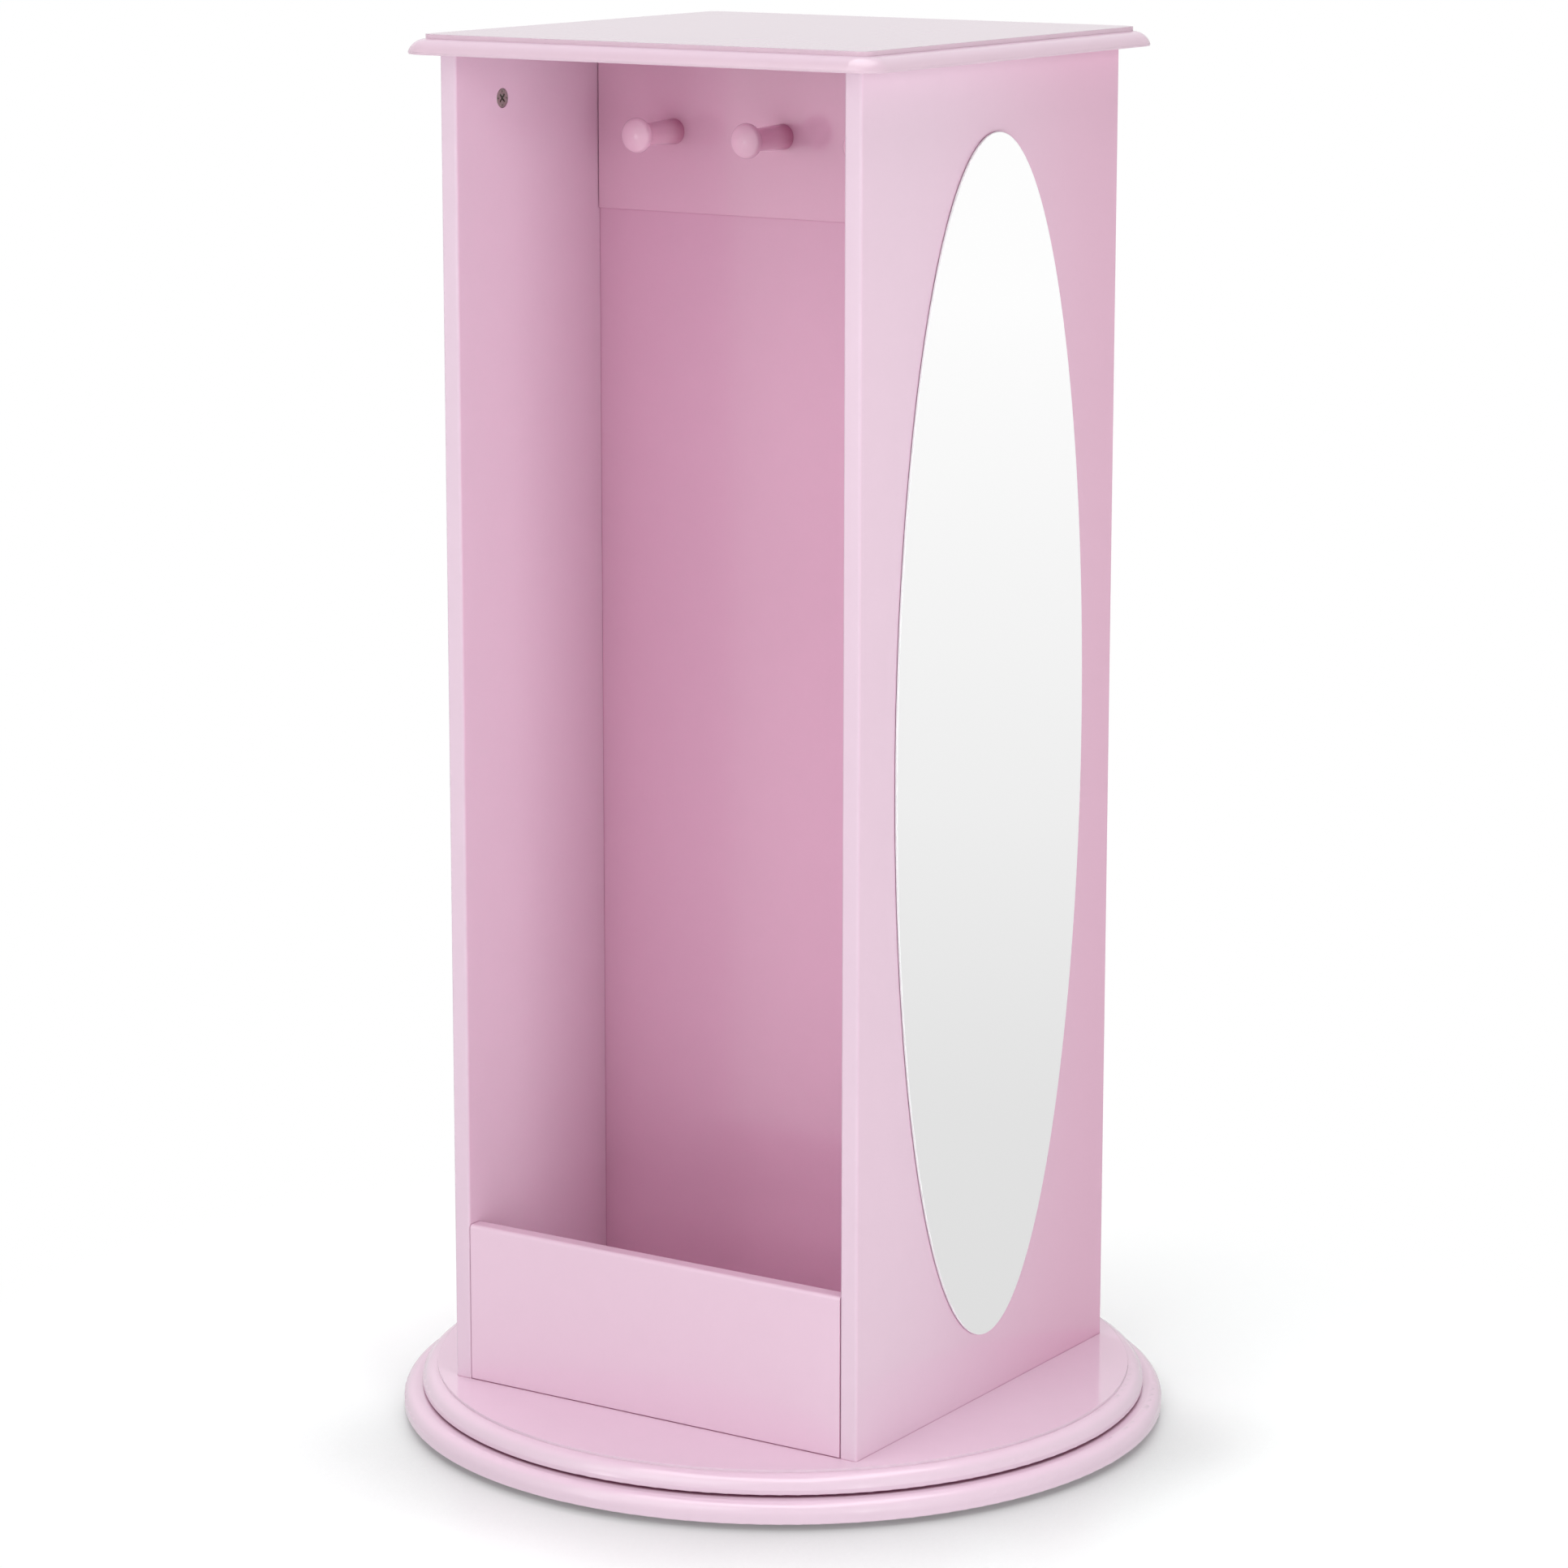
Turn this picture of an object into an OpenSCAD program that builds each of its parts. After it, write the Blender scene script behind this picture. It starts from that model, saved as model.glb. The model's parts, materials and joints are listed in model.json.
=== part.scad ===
// Revolving dress-up cabinet: an open two-sided tower with an oval mirror,
// turning on a ball-bearing ring between two round boards.
// Millimetres. +Z is up, the hanging side faces -Y, the mirror faces +X.
// The origin lies on the floor, on the turning axis.

/* [Cabinet] */
// Width across the two side panels
cab_w = 380; // [340:5:440]
// Depth of the side panels, front to back
cab_d = 380; // [340:5:440]
// Height of the side panels
panel_h = 1055; // [950:5:1200]
// Thickness of the side panels
panel_t = 15; // [15:0.5:18]
// Rounding of the side panels' upright edges
panel_edge_r = 2; // [1:0.5:4]

/* [Top board] */
// Thickness of the top board
top_t = 15; // [15:0.5:19]
// How far the top board's lip stands out past the cabinet
top_overhang = 23.5; // [18:0.5:32]
// Corner radius of the lip, seen from above
top_corner_r = 22; // [18:1:30]
// Height of the small step round the top board
top_step = 3.6; // [2:0.2:3.8]
// Radius of the thumbnail moulding under that step
top_arc_r = 14.5; // [14.5:0.5:18]
// Width of the thumbnail moulding
top_arc_w = 13.6; // [9:0.2:13.6]

/* [Turntable] */
// Thickness of the turntable disc
turn_t = 16; // [15:0.5:19]
// Flat left outside the cabinet's corners
turn_margin = 12.3; // [6:0.5:30]
// Height of the step round the turntable disc
turn_step = 2.2; // [1:0.2:3]
// Radius of the turntable disc's moulded edge
turn_arc_r = 12.6; // [12.4:0.2:16]
// Width of the turntable disc's moulded edge
turn_arc_w = 12.3; // [8:0.2:12.3]
// Open gap between the two discs
disc_gap = 2; // [1.5:0.25:4]

/* [Base] */
// Thickness of the base disc
base_t = 16; // [15:0.5:19]
// How far the base disc stands out past the turntable disc
base_reach = 15.2; // [8:0.5:30]
// Radius of the base disc's rounded top edge
base_arc_r = 10; // [4:0.5:12]
// Height of the feet under the base disc
foot_h = 4; // [3:0.5:10]
// Diameter of a foot
foot_d = 32; // [24:1:45]
// Distance from the base disc's rim to the middle of a foot
foot_inset = 40; // [30:1:70]

/* [Ring bearing] */
// Outer diameter of the bearing
bearing_d = 300; // [240:5:320]
// Width of each of its two rings
ring_w = 21; // [16:0.5:24]
// Height of the whole bearing
bearing_h = 8; // [8:0.25:10]
// How far the two rings are set off from each other
ring_offset = 1; // [0.6:0.1:1.2]
// Diameter of a ball
ball_d = 4.76; // [4:0.02:4.8]
// Number of balls
ball_count = 30; // [16:1:44]
// Room between the balls and what they touch
ball_clear = 0.3; // [0.15:0.05:0.4]
// Thickness of the ball cage
cage_t = 1.2; // [0.8:0.1:1.6]
// Screws through each ring
ring_screw_count = 6; // [4:1:8]
// Length of a ring screw
ring_screw_l = 14; // [12:1:15]
// Hole in the base disc through which the inner ring is screwed on
access_d = 14; // [10:1:18]

/* [Divider and peg rail] */
// Thickness of the divider panel
div_t = 4; // [3:0.5:6]
// Where the divider's front face lies, measured from the middle
div_front = 0; // [-40:1:40]
// Depth of the groove that holds the divider
groove_d = 4; // [3:0.5:6]
// Thickness of the peg rail
rail_t = 9; // [9:0.5:15]
// Height of the peg rail
rail_h = 130.5; // [100:1:160]
// How far the rail stands out in front of the divider
rail_proud = 2.5; // [2:0.5:4]
// Open joint at each end of the rail
rail_end_gap = 0.8; // [0.3:0.1:1]

/* [Pegs] */
// Distance between two pegs
peg_pitch = 102; // [80:2:120]
// Height of the peg's axis below the side panels' top
peg_drop = 67; // [50:1:85]
// How far a peg stands out of the rail
peg_l = 57.2; // [45:0.5:75]
// Diameter of a peg at the rail
peg_base_d = 20; // [17:0.5:23]
// Diameter of a peg's neck
peg_neck_d = 17; // [13:0.5:18]
// Diameter of a peg's head
peg_head_d = 27.4; // [24:0.2:34]
// Rounding of the head's rim
peg_rim_r = 4; // [3:0.25:4.5]
// Radius of the dome on the head
peg_dome_r = 25; // [20:1:40]

/* [Bin] */
// Height of the board that closes the bin
bin_h = 128.5; // [90:0.5:220]
// Thickness of that board
bin_t = 15; // [15:0.5:18]
// Rounding of its top edges
bin_edge_r = 3; // [1:0.5:5]
// Open joint at each end of the board
bin_end_gap = 0.4; // [0.2:0.1:0.8]
// Open joint under the board
bin_floor_gap = 0.3; // [0.2:0.1:0.8]

/* [Rear shelves] */
// Thickness of a shelf
shelf_t = 15; // [12:0.5:18]
// How far a shelf's open edge lies inside the side panels
shelf_setback = 3; // [0:0.5:20]
// Rounding of a shelf's open edge
shelf_edge_r = 2; // [1:0.5:4]
// Open joint round a shelf
shelf_gap = 0.5; // [0.3:0.1:0.8]
// Diameter of a shelf pin
pin_d = 5; // [4:0.5:6]
// How far a shelf pin goes into its side panel
pin_in = 8; // [6:0.5:9]
// Size of the block that carries the shelf
pin_block = 8; // [6:0.5:10]

/* [Mirror] */
// Width of the oval mirror
mirror_w = 280; // [240:2:300]
// Height of the oval mirror
mirror_h = 948; // [800:2:980]
// Thickness of the mirror
mirror_t = 2; // [2:0.5:4]
// Height of the mirror's middle above the turntable
mirror_mid = 526; // [510:1:545]
// Thickness of the mounting tape
tape_t = 0.5; // [0.4:0.1:1]
// Width of a strip of tape
tape_w = 25; // [12:1:30]
// Length of a strip of tape
tape_l = 620; // [400:10:640]
// Distance between two strips
tape_pitch = 76; // [40:1:80]

/* [Fasteners] */
// Diameter of a cam lock
cam_d = 15; // [14:0.5:16]
// Depth of the bore that holds a cam lock
cam_bore = 12.5; // [11.5:0.5:13]
// Distance from the side panel's top to the middle of a cam lock
cam_drop = 36.5; // [30:0.5:44]
// Distance from the panel's middle to a cam lock
cam_y = 130; // [100:1:145]
// Diameter of a cam bolt
cam_bolt_d = 6; // [5:0.5:6.5]
// How far a cam bolt goes into the top board
cam_bolt_in = 10; // [8:0.5:11]
// Diameter of a wooden dowel
dowel_d = 8; // [6:0.5:9]
// Length of a wooden dowel
dowel_l = 30; // [24:1:34]
// How far a dowel goes into a board's face
dowel_in = 10; // [8:0.5:11]
// Distance from the panel's middle to a dowel in its end
dowel_y = 62; // [45:1:80]
// Diameter of a rail dowel
rail_dowel_d = 5; // [4:0.5:6]
// Distance between the two rail dowels at one end
rail_dowel_pitch = 80; // [50:2:90]
// Height of the lower bin dowel above the board's lower edge
bin_dowel_z = 28; // [20:1:40]
// Diameter of the long screws under the cabinet
screw_d = 7; // [6:0.5:7]
// Length of the long screws
screw_l = 50; // [40:1:60]
// Distance from the panel's middle to a long screw
screw_y = 120; // [100:1:140]
// Distance from the bin board's middle to a long screw
bin_screw_x = 95; // [60:1:120]
// Diameter of the small wood screws
wood_screw_d = 4; // [3:0.25:4.5]
// Room round a screw, a dowel or a pin in its hole
hole_clear = 0.1; // [0.05:0.05:0.2]
// Room between flat parts that slide together
slide_clear = 0.2; // [0.1:0.05:0.3]

/* [Hidden] */
$fn = 96;

pink = [0.90, 0.77, 0.84];
pink_deep = [0.86, 0.70, 0.79];
steel = [0.72, 0.73, 0.75];
zinc = [0.62, 0.61, 0.58];
alloy = [0.80, 0.81, 0.83];
nylon = [0.93, 0.93, 0.90];
glide = [0.88, 0.87, 0.85];
beech = [0.85, 0.70, 0.50];
silver = [0.93, 0.95, 0.96];
foam = [0.95, 0.95, 0.93];

// Heights from the floor up
base_z = foot_h;
gap_z = base_z + base_t;
turn_z = gap_z + disc_gap;
floor_z = turn_z + turn_t;
top_z = floor_z + panel_h;

// Radii of the two discs
turn_flat_r = norm([cab_w / 2, cab_d / 2]) + turn_margin;
turn_r = turn_flat_r + turn_arc_w;
base_r = turn_r + base_reach;

// Side panels and what stands between them
panel_x = (cab_w - panel_t) / 2;
inner_x = cab_w / 2 - panel_t;
rail_y = div_front - rail_proud;
rail_z = top_z - rail_h;
rail_mid_y = rail_y + rail_t / 2;
div_mid_y = div_front + div_t / 2;
peg_z = top_z - peg_drop;
cam_z = top_z - cam_drop;
bin_y = -(cab_d - bin_t) / 2;
bin_z = floor_z + bin_floor_gap;
shelf_count = 3;
shelf_bay = (panel_h - shelf_count * shelf_t) / (shelf_count + 1);
shelf_y = div_front + div_t + shelf_gap;
shelf_d = cab_d / 2 - shelf_setback - shelf_y;
pin_inset = 30;

// The bearing sits half in each disc
pocket_d = (bearing_h - disc_gap) / 2;
ring_low_z = gap_z - pocket_d;
ring_high_z = turn_z + pocket_d;
ring_h = bearing_h - ring_offset;
race_z = (ring_low_z + ring_high_z) / 2;
cage_clear = 0.3;
ring_gap = cage_t + 2 * cage_clear;
race_d = bearing_d - 2 * ring_w - ring_gap;
outer_screw_r = (bearing_d - ring_w) / 2;
inner_screw_r = (race_d - ring_gap - ring_w) / 2;
foot_count = 6;
pocket_rim = 0.5;
running_rim = 2;

// Heads of the fasteners
wood_head_d = 2 * wood_screw_d;
screw_head_d = screw_d + 3;
screw_core_d = screw_d - 2;
screw_neck = 3;
soft_r = 0.8;

// ---- shapes that repeat ----

// How far a moulding's arc drops over its width
function arc_drop(arc_r, arc_w) = arc_r - sqrt(arc_r * arc_r - arc_w * arc_w);

// Section of a board with a moulded edge: x from 0 to w, z from 0 to t
module moulded_section(w, t, step, arc_r, arc_w) {
    land = t - step - arc_drop(arc_r, arc_w);
    soft = min(soft_r, land / 2);
    mid = max(land / 2, t - step - arc_r);
    square([w - arc_w, t]);
    square([w - soft, mid]);
    translate([0, soft]) square([w, mid - soft]);
    translate([w - soft, soft]) circle(r = soft);
    intersection() {
        translate([w - arc_w, t - step - arc_r]) circle(r = arc_r);
        translate([w - arc_w, (soft + mid) / 2]) square([arc_w, t]);
    }
}

// Rectangle with round corners
module round_rect(x, y, r) {
    square([x - 2 * r, y], center = true);
    square([x, y - 2 * r], center = true);
    for (sx = [-1, 1], sy = [-1, 1])
        translate([sx * (x / 2 - r), sy * (y / 2 - r)]) circle(r = r);
}

// Countersunk screw, head up at z = 0, pointing down
module countersunk(d, head_d, l) {
    difference() {
        rotate_extrude()
            polygon([
                [0, 0], [head_d / 2, 0], [d / 2, -(head_d - d) / 2],
                [d / 2, -l + d / 2], [0, -l]
            ]);
        for (a = [0, 90]) rotate([0, 0, a])
            translate([-head_d * 0.3, -d * 0.1, -d * 0.35]) cube([head_d * 0.6, d * 0.2, d]);
    }
}

// The room that such a screw needs
module countersunk_hole(d, head_d, l) {
    c = hole_clear;
    rotate_extrude()
        polygon([
            [0, 1], [head_d / 2 + c, 1], [head_d / 2 + c, 0],
            [d / 2 + c, -(head_d - d) / 2], [d / 2 + c, -l - c], [0, -l - c]
        ]);
}

module dowel(d, l) {
    translate([0, 0, 1]) cylinder(d = d, h = l - 2);
    cylinder(d1 = d - 2, d2 = d, h = 1);
    translate([0, 0, l - 1]) cylinder(d1 = d, d2 = d - 2, h = 1);
}

// The room that a dowel needs, a millimetre longer at both ends
module dowel_hole(d, l) {
    translate([0, 0, -1]) cylinder(d = d + 2 * hole_clear, h = l + 2);
}

// Children at every ring screw of a bearing ring
module at_ring_screws(r) {
    for (i = [0 : ring_screw_count - 1]) rotate([0, 0, 360 / ring_screw_count * i])
        translate([r, 0, 0]) children();
}

// Children at the middle of one side panel's thickness, at each y; s is -1 or 1
module on_panel(s, ys) {
    for (y = ys) translate([s * panel_x, y, 0]) children();
}

// ---- base ----

module foot_at(i) {
    rotate([0, 0, 360 / foot_count * (i + 0.5)])
        translate([base_r - foot_inset, 0, 0]) children();
}

foot_recess = foot_h / 2;
foot_screw_l = foot_recess + 9;

module foot_screw_hole() {
    translate([0, 0, foot_h - foot_recess]) mirror([0, 0, 1])
        countersunk_hole(wood_screw_d, wood_head_d, foot_screw_l);
}

module base_disc() {
    color(pink) difference() {
        translate([0, 0, base_z]) rotate_extrude($fn = 180)
            moulded_section(base_r, base_t, 0, base_arc_r, base_arc_r);
        translate([0, 0, ring_low_z])
            cylinder(d = bearing_d + 2 * pocket_rim, h = base_t, $fn = 180);
        translate([0, 0, ring_low_z + ring_h]) at_ring_screws(outer_screw_r)
            countersunk_hole(wood_screw_d, wood_head_d, ring_screw_l);
        rotate([0, 0, 180 / ring_screw_count]) translate([inner_screw_r, 0, 0])
            cylinder(d = access_d, h = gap_z);
        for (i = [0 : foot_count - 1]) foot_at(i) foot_screw_hole();
    }
}

// A round glide with a softened rim and a deep screw hole
module foot(i) {
    rim = foot_h / 4;
    color(glide) foot_at(i) difference() {
        rotate_extrude()
            polygon([
                [0, 0], [foot_d / 2 - rim, 0], [foot_d / 2, rim],
                [foot_d / 2, foot_h], [0, foot_h]
            ]);
        foot_screw_hole();
        translate([0, 0, -1]) cylinder(d = wood_head_d + 2 * hole_clear, h = foot_recess + 1);
    }
}

module foot_1() { foot(0); }
module foot_2() { foot(1); }
module foot_3() { foot(2); }
module foot_4() { foot(3); }
module foot_5() { foot(4); }
module foot_6() { foot(5); }

module foot_screws() {
    color(steel) for (i = [0 : foot_count - 1]) foot_at(i)
        translate([0, 0, foot_h - foot_recess]) mirror([0, 0, 1])
            countersunk(wood_screw_d, wood_head_d, foot_screw_l);
}

// ---- ring bearing ----

// One ring of the bearing: a flat ring with the ball groove in its wall
module bearing_ring(r_in) {
    rotate_extrude($fn = 180) difference() {
        translate([r_in + ring_w / 2, ring_h / 2]) round_rect(ring_w, ring_h, 0.5);
        children();
    }
}

module ball_groove(z) {
    translate([race_d / 2, z]) circle(d = ball_d + 2 * ball_clear);
}

module bearing_outer_ring() {
    color(alloy) difference() {
        translate([0, 0, ring_low_z])
            bearing_ring(bearing_d / 2 - ring_w) ball_groove(race_z - ring_low_z);
        translate([0, 0, ring_low_z + ring_h]) at_ring_screws(outer_screw_r)
            countersunk_hole(wood_screw_d, wood_head_d, ring_screw_l);
    }
}

module bearing_inner_ring() {
    low = ring_high_z - ring_h;
    color(alloy) difference() {
        translate([0, 0, low])
            bearing_ring((race_d - ring_gap) / 2 - ring_w) ball_groove(race_z - low);
        translate([0, 0, low]) mirror([0, 0, 1]) at_ring_screws(inner_screw_r)
            countersunk_hole(wood_screw_d, wood_head_d, ring_screw_l);
    }
}

module outer_ring_screws() {
    color(steel) translate([0, 0, ring_low_z + ring_h]) at_ring_screws(outer_screw_r)
        countersunk(wood_screw_d, wood_head_d, ring_screw_l);
}

module inner_ring_screws() {
    color(steel) translate([0, 0, ring_high_z - ring_h]) mirror([0, 0, 1])
        at_ring_screws(inner_screw_r)
            countersunk(wood_screw_d, wood_head_d, ring_screw_l);
}

module at_balls() {
    for (i = [0 : ball_count - 1]) rotate([0, 0, 360 / ball_count * i])
        translate([race_d / 2, 0, race_z]) children();
}

module bearing_balls() {
    color(steel) at_balls() sphere(d = ball_d, $fn = 48);
}

// A thin band between the rings, with a round window for each ball
module ball_cage() {
    cage_h = bearing_h - 2 * cage_clear - slide_clear;
    color(nylon) difference() {
        translate([0, 0, race_z - cage_h / 2]) rotate_extrude($fn = 180)
            translate([(race_d - cage_t) / 2, 0]) square([cage_t, cage_h]);
        at_balls() rotate([0, 90, 0])
            cylinder(d = ball_d + 2 * ball_clear, h = 4 * cage_t, center = true, $fn = 32);
    }
}

// ---- turntable ----

// A long screw with its countersunk head down at z = 0, pointing up
module long_screw() {
    difference() {
        rotate_extrude()
            polygon([
                [0, 0], [screw_head_d / 2, 0], [screw_d / 2, screw_neck],
                [screw_d / 2, turn_t - 1], [screw_core_d / 2, turn_t],
                [screw_core_d / 2, screw_l - 2], [0, screw_l]
            ]);
        translate([0, 0, -1]) cylinder(d = screw_d * 0.65, h = screw_neck + 1, $fn = 6);
    }
}

module long_screw_hole() {
    c = hole_clear;
    rotate_extrude()
        polygon([
            [0, -1], [screw_head_d / 2 + c, -1], [screw_head_d / 2 + c, 0],
            [screw_d / 2 + c, screw_neck], [screw_d / 2 + c, turn_t],
            [screw_core_d / 2 + c, turn_t], [screw_core_d / 2 + c, screw_l + c], [0, screw_l + c]
        ]);
}

module turntable_disc() {
    color(pink) difference() {
        translate([0, 0, turn_z]) rotate_extrude($fn = 180)
            moulded_section(turn_r, turn_t, turn_step, turn_arc_r, turn_arc_w);
        translate([0, 0, ring_high_z - base_t])
            cylinder(d = bearing_d + 2 * running_rim, h = base_t, $fn = 180);
        translate([0, 0, ring_high_z - ring_h]) mirror([0, 0, 1])
            at_ring_screws(inner_screw_r)
                countersunk_hole(wood_screw_d, wood_head_d, ring_screw_l);
        for (s = [-1, 1]) {
            translate([0, 0, turn_z]) on_panel(s, [-screw_y, screw_y]) long_screw_hole();
            translate([0, 0, floor_z - dowel_in]) on_panel(s, [-dowel_y, dowel_y])
                dowel_hole(dowel_d, dowel_l);
            translate([s * bin_screw_x, bin_y, turn_z]) long_screw_hole();
        }
    }
}

// ---- cabinet ----

module cam_bolt_hole() {
    cylinder(d = cam_bolt_d + 1, h = cam_drop + 1);
}

// The left panel; the right one is its mirror image
module panel_blank() {
    translate([-panel_x, 0, floor_z]) linear_extrude(panel_h)
        round_rect(panel_t, cab_d, panel_edge_r);
}

module panel_cuts() {
    // groove for the divider
    translate([-inner_x - groove_d, div_mid_y - div_t / 2 - slide_clear, floor_z - 1])
        cube([groove_d + 1, div_t + 2 * slide_clear, rail_z + groove_d - floor_z + 1]);
    // cam locks and their bolts
    for (y = [-cam_y, cam_y]) translate([-inner_x, y, cam_z]) rotate([0, -90, 0])
        translate([0, 0, -1]) cylinder(d = cam_d + 2 * hole_clear, h = cam_bore + 1);
    translate([0, 0, cam_z]) on_panel(-1, [-cam_y, cam_y]) cam_bolt_hole();
    // dowels in both ends
    translate([0, 0, top_z - dowel_l + dowel_in]) on_panel(-1, [-dowel_y, dowel_y])
        dowel_hole(dowel_d, dowel_l);
    translate([0, 0, floor_z - dowel_in]) on_panel(-1, [-dowel_y, dowel_y])
        dowel_hole(dowel_d, dowel_l);
    // long screws from below
    translate([0, 0, turn_z]) on_panel(-1, [-screw_y, screw_y]) long_screw_hole();
    // dowels of the bin board and of the rail
    at_bin_dowels() dowel_hole(dowel_d, dowel_l);
    at_rail_dowels() dowel_hole(rail_dowel_d, dowel_l);
    // shelf pins
    at_shelf_pins() dowel_hole(pin_d, pin_in);
}

// Children at each bin dowel of the left panel, pointing into the panel
module at_bin_dowels() {
    for (z = [bin_dowel_z, bin_h - bin_dowel_z])
        translate([-inner_x - dowel_in + dowel_l, bin_y, bin_z + z])
            rotate([0, -90, 0]) children();
}

module at_rail_dowels() {
    for (s = [-1, 1])
        translate([
            -inner_x - dowel_in + dowel_l, rail_mid_y,
            rail_z + rail_h / 2 + s * rail_dowel_pitch / 2
        ]) rotate([0, -90, 0]) children();
}

// Children at each shelf pin of the left panel, at its inner face
module at_shelf_pins() {
    for (i = [1 : shelf_count], y = [shelf_y + pin_inset, shelf_y + shelf_d - pin_inset])
        translate([-inner_x, y, shelf_z(i) - pin_block / 2]) rotate([0, -90, 0]) children();
}

function shelf_z(i) = floor_z + i * shelf_bay + (i - 1) * shelf_t;

module side_panel_left() {
    color(pink) difference() {
        panel_blank();
        panel_cuts();
    }
}

module side_panel_right() {
    color(pink) mirror([1, 0, 0]) difference() {
        panel_blank();
        panel_cuts();
    }
}

module panel_screws() {
    color(steel) translate([0, 0, turn_z]) for (s = [-1, 1])
        on_panel(s, [-screw_y, screw_y]) long_screw();
}

// A board whose moulded edge runs round four sides and four round corners
module top_board() {
    half_x = cab_w / 2 + top_overhang;
    half_y = cab_d / 2 + top_overhang;
    module half_bar(half, l) {
        rotate([90, 0, 0]) translate([0, 0, -l / 2]) linear_extrude(l)
            moulded_section(half, top_t, top_step, top_arc_r, top_arc_w);
    }
    color(pink) difference() {
        translate([0, 0, top_z]) union() {
            for (a = [0, 180]) rotate([0, 0, a])
                half_bar(half_x, 2 * (half_y - top_corner_r));
            for (a = [90, 270]) rotate([0, 0, a])
                half_bar(half_y, 2 * (half_x - top_corner_r));
            for (sx = [0, 1], sy = [0, 1]) mirror([sx, 0, 0]) mirror([0, sy, 0])
                translate([half_x - top_corner_r, half_y - top_corner_r, 0])
                    rotate_extrude(angle = 90)
                        moulded_section(top_corner_r, top_t, top_step, top_arc_r, top_arc_w);
        }
        for (s = [-1, 1]) {
            translate([0, 0, top_z - dowel_l + dowel_in]) on_panel(s, [-dowel_y, dowel_y])
                dowel_hole(dowel_d, dowel_l);
            translate([0, 0, top_z - 1]) on_panel(s, [-cam_y, cam_y])
                cylinder(d = cam_bolt_d + 2 * hole_clear, h = cam_bolt_in + 1.5);
        }
    }
}

// A round cam with a cross in its face and a chamber for the bolt's head
module cam_lock() {
    body_h = cam_bore - 0.3;
    difference() {
        rotate_extrude()
            polygon([
                [0, 0.2], [cam_d / 2 - 0.6, 0.2], [cam_d / 2, 0.8],
                [cam_d / 2, body_h], [0, body_h]
            ]);
        for (a = [45, 135]) rotate([0, 0, a])
            translate([-cam_d * 0.28, -0.8, 0]) cube([cam_d * 0.56, 1.6, 2.6]);
        for (a = [0 : 90 : 270]) rotate([0, 0, a])
            translate([cam_d * 0.36, 0, 0]) cylinder(d = 1.6, h = 1.2, $fn = 24);
        translate([0, 0, panel_t / 2]) rotate([0, 90, 0])
            cylinder(d = cam_bolt_d - 1, h = cam_d);
        translate([-cam_bolt_d * 0.4, 0, panel_t / 2]) rotate([0, 90, 0])
            cylinder(d = cam_bolt_d + 1.4, h = cam_bolt_d * 0.8);
    }
}

module cam_locks() {
    color(zinc) for (s = [0, 1], y = [-cam_y, cam_y]) mirror([s, 0, 0])
        translate([-inner_x, y, cam_z]) rotate([0, -90, 0]) cam_lock();
}

// Head in the cam, waist, shaft through the panel's end, thread in the top board
module cam_bolt() {
    neck_d = cam_bolt_d - 2;
    head_h = cam_bolt_d * 0.4;
    rotate_extrude()
        polygon([
            [0, -head_h / 2], [cam_bolt_d / 2, -head_h / 2], [cam_bolt_d / 2, head_h / 2],
            [neck_d / 2, head_h / 2 + 0.8], [neck_d / 2, cam_d / 2 + 1],
            [cam_bolt_d / 2, cam_d / 2 + 2], [cam_bolt_d / 2, cam_drop + cam_bolt_in - 1],
            [cam_bolt_d / 2 - 1, cam_drop + cam_bolt_in], [0, cam_drop + cam_bolt_in]
        ]);
}

module cam_bolts() {
    color(steel) translate([0, 0, cam_z]) for (s = [-1, 1])
        on_panel(s, [-cam_y, cam_y]) cam_bolt();
}

module wood_dowels() {
    color(beech) {
        for (s = [-1, 1]) {
            translate([0, 0, top_z - dowel_l + dowel_in]) on_panel(s, [-dowel_y, dowel_y])
                dowel(dowel_d, dowel_l);
            translate([0, 0, floor_z - dowel_in]) on_panel(s, [-dowel_y, dowel_y])
                dowel(dowel_d, dowel_l);
        }
        for (s = [0, 1]) mirror([s, 0, 0]) at_bin_dowels() dowel(dowel_d, dowel_l);
    }
}

// ---- divider, rail and pegs ----

module divider_panel() {
    half = inner_x + groove_d - slide_clear;
    color(pink_deep) translate([-half, div_front, floor_z])
        cube([2 * half, div_t, rail_z + groove_d - slide_clear - floor_z]);
}

module peg_rail() {
    half = inner_x - rail_end_gap;
    color(pink) difference() {
        translate([-half, 0, 0]) rotate([90, 0, 90]) linear_extrude(2 * half)
            translate([rail_mid_y, rail_z + rail_h / 2 - slide_clear / 2])
                round_rect(rail_t, rail_h - slide_clear, 0.8);
        translate([-half - 1, div_mid_y - div_t / 2 - slide_clear, rail_z - 1])
            cube([2 * half + 2, div_t + 2 * slide_clear, groove_d + 1]);
        for (s = [0, 1]) mirror([s, 0, 0]) at_rail_dowels()
            dowel_hole(rail_dowel_d, dowel_l);
        at_pegs([-1, 0, 1]) peg_screw_hole();
    }
}

module rail_dowels() {
    color(beech) for (s = [0, 1]) mirror([s, 0, 0]) at_rail_dowels()
        dowel(rail_dowel_d, dowel_l);
}

// Children at the rail's front face, with z pointing out of the rail
module at_pegs(places) {
    for (i = places) translate([i * peg_pitch, rail_y, peg_z])
        rotate([90, 0, 0]) children();
}

peg_screw_in = 22;

module peg_screw_hole() {
    translate([0, 0, -rail_t]) mirror([0, 0, 1])
        countersunk_hole(wood_screw_d, wood_head_d, rail_t + peg_screw_in);
}

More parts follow.
